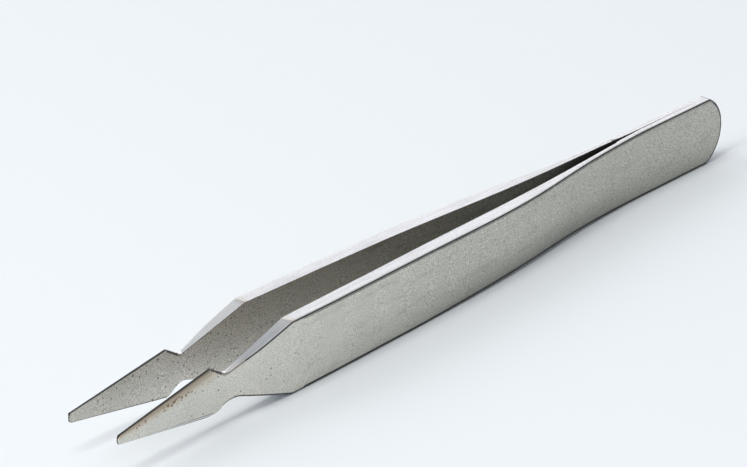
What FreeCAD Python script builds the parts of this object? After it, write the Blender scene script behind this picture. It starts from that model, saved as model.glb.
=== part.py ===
import FreeCAD, Part
import os

os.makedirs("parts", exist_ok=True)

# Spring tweezers for lifting wet decals: two mirrored steel arms, welded face to face
# at the tail and sprung apart at the tips, each ending in a thin pointed spade.
# The tool lies on its long edges. X runs from the tips (-) to the tail (+), Y across the
# gap, Z up, and the origin is under the middle of the tool, in the plane it rests on.
# Places along an arm are measured from the tips, or forward from the tail where their
# name says so, gaps from the middle plane between the arms, and half widths from the
# arm's own centre line.

# Whole tool
length = 120.0
strip_width = 9.66

# Spade, the thin pointed front of each arm
tip_half_width = 0.58
tip_corner_radius = 0.45
spade_length = 15.6
spade_half_width = 3.12
spade_corner_radius = 0.8

# Neck, where the outline draws in behind the spade
neck_at = 17.8
neck_half_width = 1.7
neck_radius = 1.6

# Handle outline, from the shoulder over a shallow waist to the rounded tail
shoulder_at = 28.5
shoulder_radius = 0.9
waist_front_from_tail = 70.0
waist_middle_from_tail = 41.0
waist_back_from_tail = 15.0
waist_half_width = 4.47
tail_arc_rise = 3.1
tail_corner_radius = 0.6

# Places along the arm where its gap and thickness are set
ramp_end_at = 22.4
grip_at = 45.0
grip_back_from_tail = 53.0
spring_from_tail = 40.0
thin_from_tail = 30.0
root_from_tail = 22.0
weld_length = 16.0

# Half of the gap between the arms
tip_gap = 3.81
spade_back_gap = 3.37
ramp_end_gap = 3.13
shoulder_gap = 2.92
grip_gap = 2.48
grip_back_gap = 1.62
spring_gap = 1.03
thin_gap = 0.6
root_gap = 0.24

# Thickness of the arm: ground thin at the spade, full in the grip, thinned over the
# spring so that the arm flexes there, then even where the arms are welded
tip_thickness = 0.48
spade_back_thickness = 0.6
ramp_end_thickness = 1.42
shoulder_thickness = 1.84
grip_thickness = 1.98
grip_back_thickness = 2.1
spring_thickness = 1.68
thin_thickness = 0.95
root_thickness = 0.8
weld_thickness = 0.88

# Rounding of the outer face's edge
outer_edge_radius = 0.25

half_strip = strip_width / 2


def at(x, y, z):
    """Point at a place behind the tips, off the middle plane and off the centre line."""
    return FreeCAD.Vector(x - length / 2, y, z + half_strip)


def curve_through(points, start, end):
    """Smooth edge through the points, leaving and arriving in the given directions."""
    curve = Part.BSplineCurve()
    curve.interpolate(Points=points, InitialTangent=start, FinalTangent=end)
    return curve.toShape()


def direction(a, b):
    step = b - a
    return step.normalize()


def plan_solid():
    """Arm in plan, between its inner and outer faces, as tall as the strip."""
    grip_back_at = length - grip_back_from_tail
    spring_at = length - spring_from_tail
    thin_at = length - thin_from_tail
    root_at = length - root_from_tail
    weld_at = length - weld_length
    inner = [
        at(0, tip_gap, -half_strip),
        at(spade_length, spade_back_gap, -half_strip),
        at(shoulder_at, shoulder_gap, -half_strip),
        at(grip_at, grip_gap, -half_strip),
        at(grip_back_at, grip_back_gap, -half_strip),
        at(spring_at, spring_gap, -half_strip),
        at(thin_at, thin_gap, -half_strip),
        at(root_at, root_gap, -half_strip),
        at(weld_at, 0, -half_strip),
    ]
    outer = [
        at(spade_length, spade_back_gap + spade_back_thickness, -half_strip),
        at(ramp_end_at, ramp_end_gap + ramp_end_thickness, -half_strip),
        at(shoulder_at, shoulder_gap + shoulder_thickness, -half_strip),
        at(grip_at, grip_gap + grip_thickness, -half_strip),
        at(grip_back_at, grip_back_gap + grip_back_thickness, -half_strip),
        at(spring_at, spring_gap + spring_thickness, -half_strip),
        at(thin_at, thin_gap + thin_thickness, -half_strip),
        at(root_at, root_gap + root_thickness, -half_strip),
        at(weld_at, weld_thickness, -half_strip),
    ]
    tip_outer = at(0, tip_gap + tip_thickness, -half_strip)
    tail_inner = at(length, 0, -half_strip)
    tail_outer = at(length, weld_thickness, -half_strip)
    inner_edge = curve_through(
        inner, direction(inner[0], inner[1]), direction(inner[-2], inner[-1])
    )
    outer_edge = curve_through(
        outer, direction(tip_outer, outer[0]), direction(outer[-1], tail_outer)
    )
    outline = Part.Wire(
        [
            Part.makeLine(tip_outer, outer[0]),
            outer_edge,
            Part.makeLine(outer[-1], tail_outer),
            Part.makeLine(tail_outer, tail_inner),
            Part.makeLine(tail_inner, inner[-1]),
            inner_edge,
            Part.makeLine(inner[0], tip_outer),
        ]
    )
    return Part.Face(outline).extrude(FreeCAD.Vector(0, 0, strip_width))


def side_solid(depth):
    """Side outline of the arm, run across the tool to a depth, with rounded corners."""
    along_x = FreeCAD.Vector(1, 0, 0)
    tail_chord_at = length - tail_arc_rise
    upper = []
    lower = []
    for side, edges in ((1, upper), (-1, lower)):
        tip = at(0, 0, side * tip_half_width)
        spade = at(spade_length, 0, side * spade_half_width)
        neck = at(neck_at, 0, side * neck_half_width)
        shoulder = at(shoulder_at, 0, side * half_strip)
        waist = [
            at(length - waist_front_from_tail, 0, side * half_strip),
            at(length - waist_middle_from_tail, 0, side * waist_half_width),
            at(length - waist_back_from_tail, 0, side * half_strip),
        ]
        tail_top = at(tail_chord_at, 0, side * half_strip)
        edges.append(Part.makeLine(tip, spade))
        edges.append(Part.makeLine(spade, neck))
        edges.append(Part.makeLine(neck, shoulder))
        edges.append(Part.makeLine(shoulder, waist[0]))
        edges.append(curve_through(waist, along_x, along_x))
        edges.append(Part.makeLine(waist[-1], tail_top))
    tail = Part.Arc(
        at(tail_chord_at, 0, half_strip), at(length, 0, 0), at(tail_chord_at, 0, -half_strip)
    ).toShape()
    end = Part.makeLine(at(0, 0, -tip_half_width), at(0, 0, tip_half_width))
    outline = Part.Wire(upper + [tail] + lower[::-1] + [end])
    block = Part.Face(outline).extrude(FreeCAD.Vector(0, depth, 0))
    corners = (
        (0, tip_half_width, tip_corner_radius),
        (spade_length, spade_half_width, spade_corner_radius),
        (neck_at, neck_half_width, neck_radius),
        (shoulder_at, half_strip, shoulder_radius),
        (tail_chord_at, half_strip, tail_corner_radius),
    )
    for x, half_width, radius in corners:
        for side in (1, -1):
            corner = at(x, depth / 2, side * half_width)
            nearest = min(block.Edges, key=lambda edge: edge.CenterOfMass.distanceToPoint(corner))
            block = block.makeFillet(radius, [nearest])
    return block


def outer_rim(body):
    """Edges that run round the outer face, without the seams across it."""
    rim = []
    for face in body.Faces:
        u_first, u_last, v_first, v_last = face.ParameterRange
        middle = face.valueAt((u_first + u_last) / 2, (v_first + v_last) / 2)
        behind = middle - FreeCAD.Vector(0, tip_thickness / 4, 0)
        in_front = middle + FreeCAD.Vector(0, tip_thickness / 4, 0)
        if not body.isInside(behind, 1e-6, False) or body.isInside(in_front, 1e-6, True):
            continue
        for edge in face.Edges:
            seam = [known for known in rim if known.isSame(edge)]
            if seam:
                rim.remove(seam[0])
            else:
                rim.append(edge)
    return rim


def arm():
    """The arm on the +Y side, with the edge of its outer face rounded."""
    plan = plan_solid()
    side = side_solid(plan.BoundBox.YMax + tip_thickness)
    body = plan.common(side).removeSplitter().Solids[0]
    return body.makeFillet(outer_edge_radius, outer_rim(body)).Solids[0]


right_arm = arm()
left_arm = right_arm.mirror(FreeCAD.Vector(0, 0, 0), FreeCAD.Vector(0, 1, 0))

right_arm.exportStep("parts/right_arm.step")
left_arm.exportStep("parts/left_arm.step")
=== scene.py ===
import math

import bmesh
import bpy
from mathutils import Matrix, Vector


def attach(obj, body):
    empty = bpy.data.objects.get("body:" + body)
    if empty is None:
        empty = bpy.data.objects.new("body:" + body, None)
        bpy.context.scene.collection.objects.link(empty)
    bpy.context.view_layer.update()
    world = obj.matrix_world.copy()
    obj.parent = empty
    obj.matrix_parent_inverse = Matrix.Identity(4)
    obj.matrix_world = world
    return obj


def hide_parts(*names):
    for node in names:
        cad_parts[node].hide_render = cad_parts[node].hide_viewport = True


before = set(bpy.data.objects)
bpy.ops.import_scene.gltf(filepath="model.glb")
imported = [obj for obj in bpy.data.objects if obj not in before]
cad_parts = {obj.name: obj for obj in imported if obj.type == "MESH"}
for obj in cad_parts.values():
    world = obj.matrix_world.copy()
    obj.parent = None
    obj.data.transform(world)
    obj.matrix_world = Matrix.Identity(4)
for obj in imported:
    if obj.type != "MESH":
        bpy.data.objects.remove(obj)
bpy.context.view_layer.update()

# Arms
# Each arm is one strip of stainless steel: full thickness in the grip, ground thin over
# the spring and again at the pointed spade, whose edges are ground thinner still. The
# pair is welded face to face at the tail, then bead blasted all over.

# sizes in millimetres: places along an arm are from its tip, half widths and heights
# from its centre line
MM = 0.001
LENGTH = 120.0
HALF_STRIP = 4.83
TIP_HALF = 0.58
SPADE_BACK = 15.6
SPADE_HALF = 3.12
NECK_AT = 17.8
NECK_HALF = 1.7
SPADE_END = 18.6
SHOULDER_AT = 28.5

# corners of the side outline: place, half width, radius
UPPER_CORNERS = [
    (0.0, TIP_HALF, 0.4),
    (SPADE_BACK, SPADE_HALF, 0.55),
    (NECK_AT, NECK_HALF, 1.4),
    (SHOULDER_AT, HALF_STRIP, 0.9),
]
FAR_LOWER_CORNERS = [
    (0.0, TIP_HALF, 0.4),
    (SPADE_BACK, SPADE_HALF, 0.9),
    (NECK_AT, NECK_HALF, 1.8),
    (SHOULDER_AT, HALF_STRIP, 0.9),
]
NEAR_LOWER_CORNERS = [
    (0.0, TIP_HALF, 0.4),
    (SPADE_BACK, SPADE_HALF, 5.2),
    (18.9, 1.68, 4.0),
    (SHOULDER_AT, HALF_STRIP, 1.6),
]
CORNER_STEPS = 7

# the shallow waist of the handle: front, middle, back, depth
WAIST = (50.0, 79.0, 105.0, 0.36)
WAIST_STEPS = 20

# the tail: an arc over its end, whose last point stays off the centre line
TAIL_RISE = 3.1
TAIL_CORNER = 0.6
TAIL_STEPS = 16
TAIL_END_HALF = 0.12

# the faces in plan: place, distance from the middle plane between the arms
INNER_FACE = [
    (0.0, 3.81), (15.6, 3.37), (22.4, 3.13), (28.5, 2.92), (36.0, 2.715), (45.0, 2.48),
    (55.0, 2.134), (67.0, 1.62), (80.0, 1.03), (90.0, 0.6), (98.0, 0.24), (104.0, 0.0),
    (120.0, 0.0),
]
OUTER_FACE = [
    (0.0, 4.29), (15.6, 3.97), (17.0, 3.985), (18.0, 4.05), (20.0, 4.265), (22.4, 4.545),
    (24.0, 4.66), (28.5, 4.745), (36.0, 4.67), (45.0, 4.455), (55.0, 4.185), (67.0, 3.705),
    (75.0, 3.14), (80.0, 2.6), (85.0, 1.985), (90.0, 1.49), (95.0, 1.15), (98.0, 1.02),
    (101.0, 0.925), (104.0, 0.88), (120.0, 0.88),
]
FLAT_TAIL_AT = 104.2


def along(x):
    """Place from the tip, in millimetres, to a place in the frame."""
    return (x - LENGTH / 2) * MM


def from_tip(x):
    """Place in the frame to a place from the tip, in millimetres."""
    return x / MM + LENGTH / 2


def up(z):
    """Height from an arm's centre line, in millimetres, to a height in the frame."""
    return (HALF_STRIP + z) * MM


def round_corner(before, corner, after, radius, steps):
    """Arc that rounds a corner of the outline, as a list of points."""
    a = (Vector(before) - Vector(corner)).normalized()
    b = (Vector(after) - Vector(corner)).normalized()
    half_angle = a.angle(b) / 2
    reach = radius / math.tan(half_angle)
    centre = Vector(corner) + (a + b).normalized() * radius / math.sin(half_angle)
    start = Vector(corner) + a * reach - centre
    end = Vector(corner) + b * reach - centre
    turn = start.angle_signed(end)
    arc = []
    for step in range(steps + 1):
        spoke = start.copy()
        spoke.rotate(Matrix.Rotation(-turn * step / steps, 2))
        arc.append(tuple(centre + spoke))
    return arc


def side_outline(front_corners):
    """Half of the side view from tip to tail, with those corners in front of the waist."""
    tail_start = LENGTH - TAIL_RISE
    corners = [(0.0, 0.0, 0.0)] + front_corners + [(tail_start, HALF_STRIP, 0.0)]
    points = []
    for before, corner, after in zip(corners, corners[1:], corners[2:]):
        points += round_corner(before[:2], corner[:2], after[:2], corner[2], CORNER_STEPS)
    front, middle, back, depth = WAIST
    for step in range(1, WAIST_STEPS):
        x = front + (back - front) * step / WAIST_STEPS
        share = (x - front) / (middle - front) if x < middle else (back - x) / (back - middle)
        points.append((x, HALF_STRIP - depth * share * share * (3 - 2 * share)))
    radius = (HALF_STRIP ** 2 + TAIL_RISE ** 2) / (2 * TAIL_RISE)
    opening = math.asin(HALF_STRIP / radius)
    tail = []
    for step in range(TAIL_STEPS):
        angle = opening * (1 - step / (TAIL_STEPS - 0.5))
        tail.append((LENGTH - radius * (1 - math.cos(angle)), radius * math.sin(angle)))
    corner = round_corner((tail_start - 5, HALF_STRIP), tail[0], tail[3], TAIL_CORNER, 5)
    points += corner + [point for point in tail if point[0] > corner[-1][0] + 0.05]
    points.append((LENGTH, TAIL_END_HALF))
    return points


def value_at(points, x):
    """Straight reading between the points of an outline."""
    for (x0, y0), (x1, y1) in zip(points, points[1:]):
        if x0 <= x <= x1 and x1 > x0:
            return y0 + (y1 - y0) * (x - x0) / (x1 - x0)
    return points[-1][1]


def smooth_at(points, x):
    """Smooth reading through the points of a face in plan, straight on the spade and tail."""
    last = len(points) - 1
    slopes = []
    for i in range(last + 1):
        before = points[max(i - 1, 0)]
        after = points[min(i + 1, last)]
        slopes.append((after[1] - before[1]) / (after[0] - before[0]))
    slopes[1] = slopes[0]
    # the outer face runs evenly into the flat tail, the inner one meets it at an angle
    (x0, y0), (x1, y1) = points[-3:-1]
    slopes[-2] = 0.0 if points is OUTER_FACE else (y1 - y0) / (x1 - x0)
    for i in range(last):
        x0, y0 = points[i]
        x1, y1 = points[i + 1]
        if x0 <= x <= x1:
            if i == 0 or y0 == y1:
                return y0 + (y1 - y0) * (x - x0) / (x1 - x0)
            width = x1 - x0
            t = (x - x0) / width
            return (
                (2 * t ** 3 - 3 * t ** 2 + 1) * y0
                + (t ** 3 - 2 * t ** 2 + t) * width * slopes[i]
                + (3 * t ** 2 - 2 * t ** 3) * y1
                + (t ** 3 - t ** 2) * width * slopes[i + 1]
            )
    return points[-1][1]


# cuts across an arm: at its outline's points and in even steps (start, step, number)
EVEN_CUTS = ((16.0, 0.6, 22), (30.4, 1.7, 43))
CLOSEST_CUTS = 0.03


def cut_places(outline):
    """Places at which an arm is cut across, none too close to the one before."""
    places = [x for x, _ in outline if CLOSEST_CUTS < x < LENGTH - 0.004]
    for start, gap, number in EVEN_CUTS:
        places += [start + gap * step for step in range(number)]
    kept = []
    for x in sorted(places):
        if not kept or x - kept[-1] > CLOSEST_CUTS:
            kept.append(x)
    return kept


def select(arm, kind, wanted):
    """Select the vertices, edges or faces for which wanted(item) holds, in edit mode."""
    mesh = bmesh.from_edit_mesh(arm.data)
    mesh.normal_update()
    bpy.ops.mesh.select_mode(type=kind)
    bpy.ops.mesh.select_all(action="DESELECT")
    items = {"VERT": mesh.verts, "EDGE": mesh.edges, "FACE": mesh.faces}[kind]
    for item in items:
        if wanted(item):
            item.select = True
    mesh.select_flush_mode()
    bmesh.update_edit_mesh(arm.data)


def selected_faces(arm):
    """Indices of the selected faces, which hold until the next cut."""
    mesh = bmesh.from_edit_mesh(arm.data)
    mesh.faces.index_update()
    return {face.index for face in mesh.faces if face.select}


def mark(arm, name, amount, wanted=None):
    """Give a mark for the finish or for painted shade to the faces wanted, or to those selected.
    """
    arm.data.attributes.active = arm.data.attributes[name]
    if wanted:
        select(arm, "FACE", wanted)
    bpy.ops.mesh.select_mode(type="FACE")
    bpy.ops.mesh.attribute_set(value_float=amount)


def bevel(width, segments):
    """Round the selected edges."""
    bpy.ops.mesh.bevel(
        offset_type="OFFSET",
        offset=width * MM,
        segments=segments,
        profile=0.5,
        affect="EDGES",
        clamp_overlap=False,
    )


def is_outer(face):
    return face.normal.y > 0.6


def is_inner(face):
    return face.normal.y < -0.9


def is_side(face):
    return abs(face.normal.y) < 0.5


def front_of(face):
    """Foremost place of a face, in the frame."""
    return min(vert.co.x for vert in face.verts)


def on_spade(face):
    return is_outer(face) and front_of(face) < along(SPADE_END)


def place_of(face):
    """Place of the middle of a face, in millimetres from the tip."""
    return from_tip(face.calc_center_median().x)


def height_of(face):
    """Height of the middle of a face, in the frame."""
    return face.calc_center_median().z


def middle_of(edge):
    """Place of the middle of an edge, in the frame."""
    return (edge.verts[0].co.x + edge.verts[1].co.x) / 2


def shape_strip(arm, lower_corners):
    """Cut the block across, and bring each cut to the outline and to the two faces."""
    upper = side_outline(UPPER_CORNERS)
    lower = side_outline(lower_corners)
    cuts = cut_places(upper + lower)
    bpy.ops.transform.resize(
        value=(LENGTH * MM, 1 * MM, 2 * MM), center_override=(0, 0, up(0))
    )
    for x in cuts:
        bpy.ops.mesh.select_all(action="SELECT")
        bpy.ops.mesh.bisect(plane_co=(along(x), 0, 0), plane_no=(1, 0, 0))
    for x in [0.0] + cuts + [LENGTH]:
        above = value_at(upper, x)
        under = value_at(lower, x)
        inner = smooth_at(INNER_FACE, x)
        outer = smooth_at(OUTER_FACE, x)
        select(arm, "VERT", lambda vert: abs(vert.co.x - along(x)) < 2e-6)
        bpy.ops.transform.resize(
            value=(1, outer - inner, (above + under) / 2),
            center_override=(along(x), 0, up(0)),
        )
        bpy.ops.transform.translate(
            value=(0, (outer + inner) / 2 * MM, (above - under) / 2 * MM)
        )

    # the flat spade and tail become single faces
    def crosses_flat(edge):
        a, b = edge.verts[0].co, edge.verts[1].co
        upright = abs(a.x - b.x) < 1e-6 and abs(a.y - b.y) < 1e-6
        in_spade = along(0.001) < a.x < along(SPADE_BACK - 0.1)
        in_tail = along(FLAT_TAIL_AT) < a.x < along(LENGTH - 0.001)
        return upright and (in_spade or in_tail)

    select(arm, "EDGE", crosses_flat)
    bpy.ops.mesh.dissolve_edges(use_verts=False)


# grinding of the spade's edges, upper (1) and lower (-1): width at the tip and at the back,
# depth, shares of the width where it is cut, roundness of its fall, width across the tip
EDGE_GRIND = {1: (0.28, 1.05), -1: (0.3, 0.55)}
GRIND_DEPTH = {1: 0.2, -1: 0.3}
GRIND_STEPS = (0.28, 0.5, 0.75, 1.0)
GRIND_ROUND = 1.6
TIP_GRIND = 0.3


def spade_half(x):
    """Half width of the spade at a place, before its corners are rounded."""
    return TIP_HALF + (SPADE_HALF - TIP_HALF) * x / SPADE_BACK


def ground_share(at, side):
    """How far a point lies from the spade's upper or lower edge, in widths of its strip."""
    x = from_tip(at.x)
    z = at.z / MM - HALF_STRIP
    tip_width, back_width = EDGE_GRIND[side]
    width = tip_width + (back_width - tip_width) * x / SPADE_BACK
    return (spade_half(x) - side * z) / width


def ground_depth(at):
    """How much lower the ground strip lies there: a rounded fall to the edge."""
    tip_share = from_tip(at.x) / TIP_GRIND
    depths = [0.0]
    for side, depth in GRIND_DEPTH.items():
        share = max(min(tip_share, ground_share(at, side)), 0.0)
        if share < 1:
            depths.append(depth * (1 - share) ** GRIND_ROUND)
    return max(depths)


def grind_spade(arm):
    """Lower the spade's edges, in strips that run from the tip to the neck."""
    for side, (tip_width, back_width) in EDGE_GRIND.items():
        for share in GRIND_STEPS:
            tip_height = TIP_HALF - tip_width * share
            back_height = SPADE_HALF - back_width * share
            run = Vector((SPADE_BACK, 0, side * (back_height - tip_height)))
            select(arm, "FACE", on_spade)
            bpy.ops.mesh.bisect(
                plane_co=(along(0), 0, up(side * tip_height)),
                plane_no=Vector((-run.z, 0, run.x)).normalized(),
            )
    for share in GRIND_STEPS:
        select(arm, "FACE", on_spade)
        bpy.ops.mesh.bisect(plane_co=(along(TIP_GRIND * share), 0, 0), plane_no=(1, 0, 0))

    mesh = bmesh.from_edit_mesh(arm.data)
    depths = {}
    for vert in mesh.verts:
        if vert.co.x < along(SPADE_END) and any(is_outer(face) for face in vert.link_faces):
            depths[vert.index] = round(ground_depth(vert.co), 3)
    for depth in sorted(set(depths.values()) - {0.0}):
        select(arm, "VERT", lambda vert: depths.get(vert.index) == depth)
        bpy.ops.transform.translate(value=(0, -depth * MM, 0))


# widths of the painted dark lines along the spade's inner face and under its back corner, how the
# second one fades (amount, start, end), and where the sides turn from painted dark to bright
INNER_LINE = 0.16
CORNER_LINE = 0.26
CORNER_FADE = ((0.9, 15.3, 17.2), (0.55, 17.2, 17.7))
BRIGHT_FROM = 17.6


def mark_finish_and_shade(arm):
    """Mark the inner face, the smooth cut faces, and the painted dark lines and sides round the
    spade.
    """
    # the slope behind the spade's upper corner gets a strip of its own, for its painted shade line
    back_corner = Vector((SPADE_BACK, 0, SPADE_HALF))
    neck_corner = Vector((NECK_AT, 0, NECK_HALF))
    fall = (neck_corner - back_corner).normalized()
    below = Vector((fall.z, 0, -fall.x))
    line = back_corner + below * CORNER_LINE

    def by_corner(face):
        return (is_outer(face) or is_inner(face)) and 15.0 < place_of(face) < 18.4

    def in_corner_line(face):
        place = Vector((place_of(face), 0, height_of(face) / MM - HALF_STRIP))
        near_edge = (place - back_corner).dot(below) < CORNER_LINE
        return by_corner(face) and near_edge and height_of(face) > up(0)

    select(arm, "FACE", by_corner)
    bpy.ops.mesh.bisect(plane_co=(along(line.x), 0, up(line.z)), plane_no=below)

    # and so does the lower edge of the spade's inner face
    def on_inner_spade(face):
        return is_inner(face) and max(vert.co.x for vert in face.verts) < along(16.2)

    def in_inner_line(face):
        x = place_of(face)
        edge = up(0) - spade_half(x) * MM
        return is_inner(face) and x < 15.2 and height_of(face) < edge + INNER_LINE * MM

    select(arm, "FACE", on_inner_spade)
    bpy.ops.mesh.bisect(
        plane_co=(along(0), 0, up(INNER_LINE - TIP_HALF)),
        plane_no=Vector((SPADE_HALF - TIP_HALF, 0, SPADE_BACK)).normalized(),
    )

    def lower_strip(first, last):
        def test(face):
            at = face.calc_center_median()
            in_strip = first < ground_share(at, -1) < last
            return on_spade(face) and in_strip and at.x < along(SPADE_BACK)
        return test

    tail_from = LENGTH - TAIL_RISE - 0.3
    outermost, _, broad, whole = GRIND_STEPS
    mark(arm, "cut", 1.0, lambda face: is_side(face) and place_of(face) > BRIGHT_FROM)
    mark(arm, "cut", 1.0, lower_strip(outermost, broad))
    # painted shade: the spade's thin sides, the tail's end and the lines round the spade are dark
    mark(arm, "rim", 1.0, lambda face: is_side(face) and place_of(face) < BRIGHT_FROM)
    mark(arm, "rim", 0.7, lambda face: is_side(face) and place_of(face) > tail_from)
    mark(arm, "inner", 1.0, is_inner)
    for dark, start, end in CORNER_FADE:
        mark(arm, "rim", dark, lambda face: in_corner_line(face) and start < place_of(face) < end)
    mark(arm, "rim", 1.0, lower_strip(0.0, outermost))
    mark(arm, "rim", 0.65, lower_strip(broad, whole))
    mark(arm, "rim", 0.65, in_inner_line)


# where the edge of the outer face starts to be rounded and how much, and the width of the
# painted dark line inside it
ROUNDED_FROM = 17.3
ROUNDED_RIM = 0.25
EDGE_LINE = 0.2


def rim(face_test, start, end):
    """Test for the edges round the faces of a kind, between two places."""
    def test(edge):
        if len(edge.link_faces) != 2:
            return False
        one, other = edge.link_faces
        square = abs(one.normal.dot(other.normal)) < 0.5
        return (
            face_test(one) != face_test(other)
            and square
            and along(start) < middle_of(edge) < along(end)
        )
    return test


def finish_rims(arm, broken_rim):
    """Round the outer face's edge behind the neck, and only break the inner face's."""
    select(arm, "EDGE", rim(is_outer, ROUNDED_FROM, LENGTH + 1))
    bevel(ROUNDED_RIM, 5)
    rounding = selected_faces(arm)

    def lower_rounding(face):
        return face.index in rounding and height_of(face) < up(0)

    def upper_rounding(face):
        high = height_of(face) > up(0)
        return face.index in rounding and high and face.normal.y > 0.6

    # the rounding gets painted shade, dark along the lower edge and faint above
    mark(arm, "rim", 1.0, lower_rounding)
    mark(arm, "rim", 0.3, upper_rounding)
    mark(
        arm,
        "rim",
        1.0,
        lambda face: upper_rounding(face) and face.normal.y < 0.95 and place_of(face) > 20.8,
    )

    # a painted dark line of shade inside the rounding, along the lower edge and round the tail
    select(arm, "FACE", lambda face: face.normal.y > 0.9 and front_of(face) > along(29.5))
    bpy.ops.mesh.inset(thickness=EDGE_LINE * MM, use_even_offset=True)
    kept = selected_faces(arm)

    def in_edge_line(face):
        at = face.calc_center_median()
        in_ring = face.normal.y > 0.9 and at.x > along(29.7) and face.index not in kept
        return in_ring and (at.z < up(0) - 2 * MM or at.x > along(LENGTH - 2.4))

    mark(arm, "rim", 0.92, in_edge_line)
    select(arm, "EDGE", rim(is_inner, 18.0, 96.0))
    bevel(broken_rim, 3)
    # the broken inner rim gets painted shade too
    mark(arm, "rim", 1.0)

    # where the outer rounding starts, its end faces stay apart from the flat one in shading
    def starts_rounding(edge):
        flat = any(face.normal.y > 0.99 for face in edge.link_faces)
        close = along(ROUNDED_FROM - 0.4) < middle_of(edge) < along(ROUNDED_FROM + 0.1)
        return flat and close and edge.calc_face_angle(0) > math.radians(8)

    select(arm, "EDGE", starts_rounding)
    bpy.ops.mesh.mark_sharp()


def shaped_arm(name, lower_corners, broken_rim):
    """An arm on the +Y side, with lower corners and a broken inner rim of its own."""
    bpy.ops.object.select_all(action="DESELECT")
    bpy.ops.mesh.primitive_cube_add(size=1, location=(0, 0, up(0)))
    arm = bpy.context.object
    arm.name = name
    bpy.ops.object.transform_apply(location=True, rotation=False, scale=False)
    for mark_name in ("rim", "cut", "inner"):
        bpy.ops.geometry.attribute_add(name=mark_name, domain="FACE", data_type="FLOAT")
    bpy.ops.object.mode_set(mode="EDIT")
    shape_strip(arm, lower_corners)
    grind_spade(arm)
    mark_finish_and_shade(arm)
    finish_rims(arm, broken_rim)
    bpy.ops.mesh.select_all(action="SELECT")
    bpy.ops.mesh.remove_doubles(threshold=0.000002)
    bpy.ops.object.mode_set(mode="OBJECT")
    return arm


right_arm = shaped_arm("right_arm_steel", FAR_LOWER_CORNERS, 0.05)
left_arm = shaped_arm("left_arm_steel", NEAR_LOWER_CORNERS, 0.13)
bpy.ops.object.mode_set(mode="EDIT")
bpy.ops.mesh.select_all(action="SELECT")
bpy.ops.transform.resize(value=(1, -1, 1), center_override=(0, 0, 0))
bpy.ops.mesh.normals_make_consistent(inside=False)
bpy.ops.object.mode_set(mode="OBJECT")

for piece in (left_arm, right_arm):
    bpy.ops.object.select_all(action="DESELECT")
    piece.select_set(True)
    bpy.context.view_layer.objects.active = piece
    bpy.ops.object.transform_apply(location=True, rotation=True, scale=True)
    bpy.ops.object.shade_smooth_by_angle(angle=math.radians(30))
    bpy.ops.object.modifier_add(type="WEIGHTED_NORMAL")
    piece.modifiers[-1].keep_sharp = True
    bpy.ops.object.modifier_apply(modifier=piece.modifiers[-1].name)


class Shade:
    """A shader socket that takes part in Python expressions through Math nodes."""

    def __init__(self, tree, socket):
        self.tree = tree
        self.socket = socket

    def math(self, operation, *values):
        node = self.tree.nodes.new("ShaderNodeMath")
        node.operation = operation
        for slot, value in zip(node.inputs, values):
            plug(self.tree, slot, value)
        return Shade(self.tree, node.outputs[0])

    def __add__(self, other):
        return self.math("ADD", self, other)

    def __radd__(self, other):
        return self.math("ADD", other, self)

    def __sub__(self, other):
        return self.math("SUBTRACT", self, other)

    def __rsub__(self, other):
        return self.math("SUBTRACT", other, self)

    def __mul__(self, other):
        return self.math("MULTIPLY", self, other)

    def __rmul__(self, other):
        return self.math("MULTIPLY", other, self)

    def __truediv__(self, other):
        return self.math("DIVIDE", self, other)

    def __rtruediv__(self, other):
        return self.math("DIVIDE", other, self)

    def __abs__(self):
        return self.math("ABSOLUTE", self)


def plug(tree, slot, value):
    """Link a shader value to a socket, or give the socket a number, vector or colour."""
    if isinstance(value, Shade):
        tree.links.new(value.socket, slot)
    else:
        slot.default_value = (*value, 1) if slot.type == "RGBA" else value


def named(sockets, name):
    """The socket in use of that name, which has an underscore for each space."""
    return next(s for s in sockets if s.name.replace(" ", "_") == name and s.enabled)


class Finish:
    """A material under construction: adds nodes and hands back what they give."""

    def __init__(self, name):
        self.material = bpy.data.materials.new(name)
        self.material.use_nodes = True
        self.tree = self.material.node_tree
        self.shader = self.tree.nodes["Principled BSDF"]

    def node(self, kind, settings=None, output=0, in_order=(), **values):
        """Any node, with its settings, and its sockets fed in their order or by name."""
        node = self.tree.nodes.new(kind)
        for key, value in (settings or {}).items():
            setattr(node, key, value)
        for slot, value in zip(node.inputs, in_order):
            plug(self.tree, slot, value)
        for name, value in values.items():
            plug(self.tree, named(node.inputs, name), value)
        socket = named(node.outputs, output) if isinstance(output, str) else node.outputs[output]
        return Shade(self.tree, socket)

    def noise(self, place, scale, detail, roughness):
        """Noise with about that many grains to the metre."""
        return self.node(
            "ShaderNodeTexNoise", Vector=place, Scale=scale, Detail=detail, Roughness=roughness
        )

    def cells(self, place, scale, output):
        """Distance from the middle of a random cell, or the cell's own random colour."""
        return self.node("ShaderNodeTexVoronoi", output=output, Vector=place, Scale=scale)

    def stretched(self, place, factors):
        """Place for a pattern that is drawn out along the axes with a small factor."""
        return self.node(
            "ShaderNodeVectorMath", {"operation": "MULTIPLY"}, in_order=(place, factors)
        )

    def marked(self, name):
        """Amount of a mark on the faces."""
        return self.node("ShaderNodeAttribute", {"attribute_name": name}, output="Fac")

    def mix(self, share, first, second, blend="MIX"):
        """Colour between two colours."""
        settings = {"data_type": "RGBA", "blend_type": blend}
        return self.node("ShaderNodeMix", settings, "Result", Factor=share, A=first, B=second)

    def step(self, value, start, end):
        """0 below the start, 1 above the end, smooth between."""
        settings = {"interpolation_type": "SMOOTHSTEP"}
        return self.node("ShaderNodeMapRange", settings, Value=value, From_Min=start, From_Max=end)

    def feed(self, name, value):
        plug(self.tree, self.shader.inputs[name], value)
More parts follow.
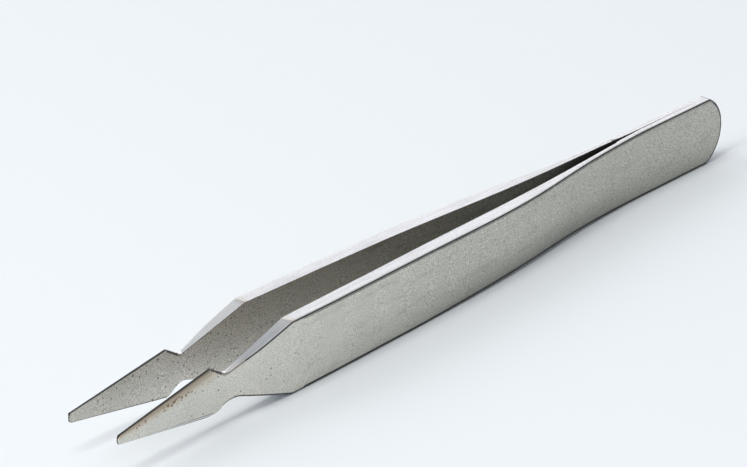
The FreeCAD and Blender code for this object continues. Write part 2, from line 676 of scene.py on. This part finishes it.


# the blasted faces, darker to the tail with painted shade, and painted light on the inner face
STEEL_SPADE = (0.725, 0.695, 0.635)
STEEL_COOL = (0.76, 0.755, 0.69)
STEEL_WARM = (0.785, 0.755, 0.685)
STEEL_GRIP_SHADE = (0.715, 0.705, 0.632)
STEEL_TAIL_SHADE = (0.57, 0.565, 0.5)
STEEL_DULL = (0.6, 0.59, 0.54)
STEEL_GRAIN = (0.26, 0.258, 0.238)
INNER_LIGHT_FRONT = (1.1, 1.08, 1.1)
INNER_LIGHT_GRIP = (1.26, 1.26, 1.32)
STEEL_ROUGH = 0.42

# the cut edges, with a painted glint on the near arm
STEEL_CUT = (0.785, 0.785, 0.79)
STEEL_STREAK = (0.5, 0.51, 0.53)
STEEL_GLINT = (0.97, 0.95, 0.95)

# the cut slope behind the neck, of the near arm (True) and of the far one: its colour, painted
# shade on the near arm and a painted highlight on the far one, the place where that starts to
# fade, and how much stronger the streaks are there
RAMP_LIGHT_AND_SHADE = {True: (0.66, 0.685, 0.71), False: (0.95, 0.96, 0.96)}
RAMP_END = {True: 25.5, False: 27.6}
RAMP_HATCH = {True: 0.2, False: -0.25}

# painted shade in the slit between the arms, painted shade low down and smears, a brown strip of
# painted reflection with its painted shade line, rust, pits and painted dark rim lines
SLIT_SHADE = (0.2, 0.215, 0.2)
SHADE_AND_SMEAR = (0.27, 0.268, 0.235)
BROWN = (0.59, 0.48, 0.355)
STRIP_EDGE_SHADE = (0.16, 0.11, 0.08)
RUST = (0.13, 0.06, 0.03)
PIT = (0.07, 0.065, 0.06)
RIM_SHADE = (0.04, 0.04, 0.038)

# pits of the near arm and of the far one: cells to the metre, share of the cells that
# have a pit, its radius in cells
PITS = {
    True: ((1000.0, 0.05, 0.17), (2300.0, 0.04, 0.3)),
    False: ((1000.0, 0.18, 0.17), (2300.0, 0.2, 0.3)),
}


def blasted_steel(name, near):
    """Bead-blasted stainless steel: fine grain, faint warm clouds, dark pits near the spade,
    with painted light and shade.
    """
    steel = Finish(name)
    steel.feed("Metallic", 1.0)
    place = steel.node("ShaderNodeTexCoord", output="Object")
    x, y, z = (
        steel.node("ShaderNodeSeparateXYZ", output=axis, Vector=place) * (1 / MM)
        for axis in range(3)
    )

    def past(start, end):
        """0 in front of one place along the arm, 1 behind the other, smooth between."""
        return steel.step(x, along(start) / MM, along(end) / MM)

    def off(middle):
        """Distance along the arm from a place."""
        return abs(x - along(middle) / MM)

    # grain and clouds; painted shade darker to the tail and low down, for the mirrored shadow
    cut = steel.marked("cut")
    painted_rim_lines = steel.marked("rim")
    grain = steel.noise(place, 7500.0, 1.0, 0.5)
    cloud = steel.noise(place, 240.0, 4.0, 0.6)
    warm = steel.noise(place, 90.0, 2.0, 0.5)
    tint = steel.mix(steel.step(warm, 0.35, 0.65), STEEL_COOL, STEEL_WARM)
    tint = steel.mix(past(18.0, 42.0), tint, STEEL_GRIP_SHADE)
    tint = steel.mix(past(45.0, 135.0), tint, STEEL_TAIL_SHADE)
    tint = steel.mix(steel.step(cloud, 0.35, 0.75) * 0.25, tint, STEEL_DULL)
    low = (1 - steel.step(z, -0.5, 5.0)) * past(25.0, 80.0) * (1 - past(84.0, 110.0) * 0.5)
    tint = steel.mix(low * 0.95, tint, SHADE_AND_SMEAR)

    # faint smears along the handle
    smear = steel.noise(steel.stretched(place, (0.16, 1.0, 1.0)), 900.0, 4.0, 0.6)
    handle = past(28.0, 38.0) * (1 - past(70.0, 100.0) * 0.6)
    tint = steel.mix(steel.step(smear, 0.5, 0.78) * handle * 0.4, tint, SHADE_AND_SMEAR)

    # the cut edges are smoother and brighter, with faint streaks along them
    streak = steel.noise(steel.stretched(place, (0.05, 1.0, 0.05)), 3000.0, 2.0, 0.6)
    ramp = 1 - past(RAMP_END[near], 28.6)
    polish = steel.mix(ramp, STEEL_CUT, RAMP_LIGHT_AND_SHADE[near])
    hatch = 0.35 + ramp * RAMP_HATCH[near]
    polish = steel.mix(steel.step(streak, 0.35, 0.7) * hatch, polish, STEEL_STREAK)
    # a painted glint on the near arm's cut edge just behind the neck
    if near:
        glint = 1 - past(18.3, 21.0)
        polish = steel.mix(glint * 0.85, polish, STEEL_GLINT)
    # a brown band across the cut edge at the shoulder
    shoulder = 1 - steel.step(off(28.7), 0.1, 0.8)
    polish = steel.mix(shoulder * 0.3, polish, BROWN)
    tint = steel.mix(cut, tint, polish)

    # inner face: a little painted light up to the slit between the arms, painted shade in the slit
    inner = steel.marked("inner")
    brighter = steel.mix(past(52.0, 76.0), INNER_LIGHT_FRONT, INNER_LIGHT_GRIP)
    tint = steel.mix(inner, tint, brighter, "MULTIPLY")
    tint = steel.mix(inner * past(84.0, 93.0) * 0.85, tint, SLIT_SHADE)
    if not near:
        tint = steel.mix(1 - past(7.0, 19.0), tint, STEEL_SPADE)
    back = past(28.0, 65.0)
    grit = (0.4 + back * 0.4) if near else (0.65 + back * 0.1)
    tint = steel.mix(steel.step(grain, 0.36, 0.68) * grit * (1 - cut * 0.6), tint, STEEL_GRAIN)

    # a brown strip of painted reflection below the spade's upper edge, a line of painted shade at
    # the edge, and specks of rust along its lower side
    rise = (SPADE_HALF - TIP_HALF) / SPADE_BACK
    edge = (x + LENGTH / 2) * rise + (TIP_HALF + HALF_STRIP) - z
    front = 1 - past(16.5, 22.0)
    if near:
        outer = 1 - steel.step(y, -3.75, -3.55)
        reach = edge / ((x + LENGTH / 2) * 0.05 + 0.35)
        ragged = reach + (cloud - 0.5) * 2.6 + (grain - 0.5) * 2.2
        strip = (1 - steel.step(ragged, 0.3, 1.5)) * front * outer
        tint = steel.mix(strip * 0.74, tint, BROWN)
        strip_edge_shade = (1 - steel.step(reach, 0.0, 0.35)) * front * outer
        tint = steel.mix(strip_edge_shade * 0.55, tint, STRIP_EDGE_SHADE)
        speck = steel.cells(place, 2300.0, "Distance")
        band = (1 - steel.step(abs(reach - 0.9), 0.1, 0.65)) * front * outer
        thick = 1 - steel.step(off(9.5), 2.0, 5.0) * 0.3
        size = (speck + (cloud - 0.5) * 1.1 + (grain - 0.5) * 0.5) / thick
        spots = (1 - steel.step(size, 0.2, 0.42)) * band
        tint = steel.mix(spots * 0.85, tint, RUST)

    # pits, most of them in front, and the painted dark lines of shade along the rims
    zone = 1 - past(24.0, 44.0)
    holes = None
    for scale, share, width in PITS[near]:
        gap = steel.cells(place, scale, "Distance")
        chance = steel.node("ShaderNodeSeparateColor", Color=steel.cells(place, scale, "Color"))
        lucky = 1 - steel.step(chance, share, share + 0.02)
        hole = (1 - steel.step(gap + (grain - 0.5) * 0.25, width * 0.6, width)) * lucky
        holes = hole if holes is None else holes.math("MAXIMUM", holes, hole)
    pits = holes * (zone * 0.9 + 0.1) * (1 - cut)
    tint = steel.mix(pits * 0.9, tint, PIT)
    tint = steel.mix(painted_rim_lines * 0.95, tint, RIM_SHADE)
    steel.feed("Base Color", tint)
    steel.feed("Roughness", STEEL_ROUGH + (cloud - 0.5) * 0.1 + (grain - 0.5) * 0.2)
    bump = steel.node("ShaderNodeBump", Strength=0.3, Distance=0.00003, Height=grain - pits * 1.5)
    steel.feed("Normal", bump)
    return steel.material


for piece, node, near in ((left_arm, "left_arm", True), (right_arm, "right_arm", False)):
    piece.data.materials.clear()
    piece.data.materials.append(blasted_steel("blasted_" + node, near))
    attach(piece, "root")
    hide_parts(node)

# Table
# A plain painted table top, pale, matt and a little cool. It is one large flat sheet, and
# the tool lies on it.

bpy.ops.object.select_all(action="DESELECT")
bpy.ops.mesh.primitive_plane_add(size=6, location=(0, 0, 0))
table = bpy.context.object
table.name = "table"
paint = Finish("table_paint")
paint.feed("Base Color", (0.855, 0.893, 0.923))
paint.feed("Roughness", 0.6)
paint.feed("Specular IOR Level", 0.0)
table.data.materials.append(paint.material)

# Light
# A long narrow light runs along the tool above its tips, in the plane of the arms. A soft
# one stands high on the far side, and a low bright wall behind the tool shows in its top
# edges. The room is dim.


def soft_light(name, place, aim, size, watts, colour):
    """A light of the given width and height, turned to what it is aimed at."""
    light = bpy.data.lights.new(name, "AREA")
    light.shape = "RECTANGLE"
    light.size = size[0]
    light.size_y = size[1]
    light.energy = watts
    light.color = colour
    lamp = bpy.data.objects.new(name, light)
    bpy.context.scene.collection.objects.link(lamp)
    lamp.location = place
    lamp.rotation_euler = (Vector(aim) - Vector(place)).to_track_quat("-Z", "Y").to_euler()


WARM_WHITE = (1.0, 0.995, 0.985)
COOL_WHITE = (0.97, 0.965, 1.0)
soft_light("overhead", (-0.9, 0.0, 0.8), (-0.55, 0.0, 0), (0.35, 1.8), 10.7, WARM_WHITE)
soft_light("far_side", (-1.7, 1.8, 2.0), (-0.2, -0.2, 0), (2.2, 1.7), 24.0, WARM_WHITE)
soft_light("back_wall", (1.0, 0.95, 0.55), (0, 0, 0.05), (1.7, 0.6), 5.2, COOL_WHITE)

world = bpy.data.worlds.new("room")
bpy.context.scene.world = world
world.use_nodes = True
background = world.node_tree.nodes["Background"]
background.inputs["Color"].default_value = (0.95, 0.97, 1.0, 1)
background.inputs["Strength"].default_value = 0.38

# Camera
# The tool is seen from its tips' end, from the near side and from above, from far off.

azimuth, elevation, roll = -0.85722, 0.43849, 0.01398
back = Vector((
    math.sin(azimuth) * math.cos(elevation),
    -math.cos(azimuth) * math.cos(elevation),
    math.sin(elevation),
))
right = Vector((math.cos(azimuth), math.sin(azimuth), 0))
up_axis = back.cross(right)
turned_right = right * math.cos(roll) + up_axis * math.sin(roll)
turned_up = up_axis * math.cos(roll) - right * math.sin(roll)
eye = Vector((-304.715, -253.705, 194.597)) * MM
camera_data = bpy.data.cameras.new("camera")
camera_data.sensor_width = 36
camera_data.lens = 168.67
camera = bpy.data.objects.new("camera", camera_data)
bpy.context.scene.collection.objects.link(camera)
camera.matrix_world = Matrix((
    (turned_right.x, turned_up.x, back.x, eye.x),
    (turned_right.y, turned_up.y, back.y, eye.y),
    (turned_right.z, turned_up.z, back.z, eye.z),
    (0, 0, 0, 1),
))
bpy.context.scene.camera = camera
bpy.context.scene.view_settings.view_transform = "Standard"
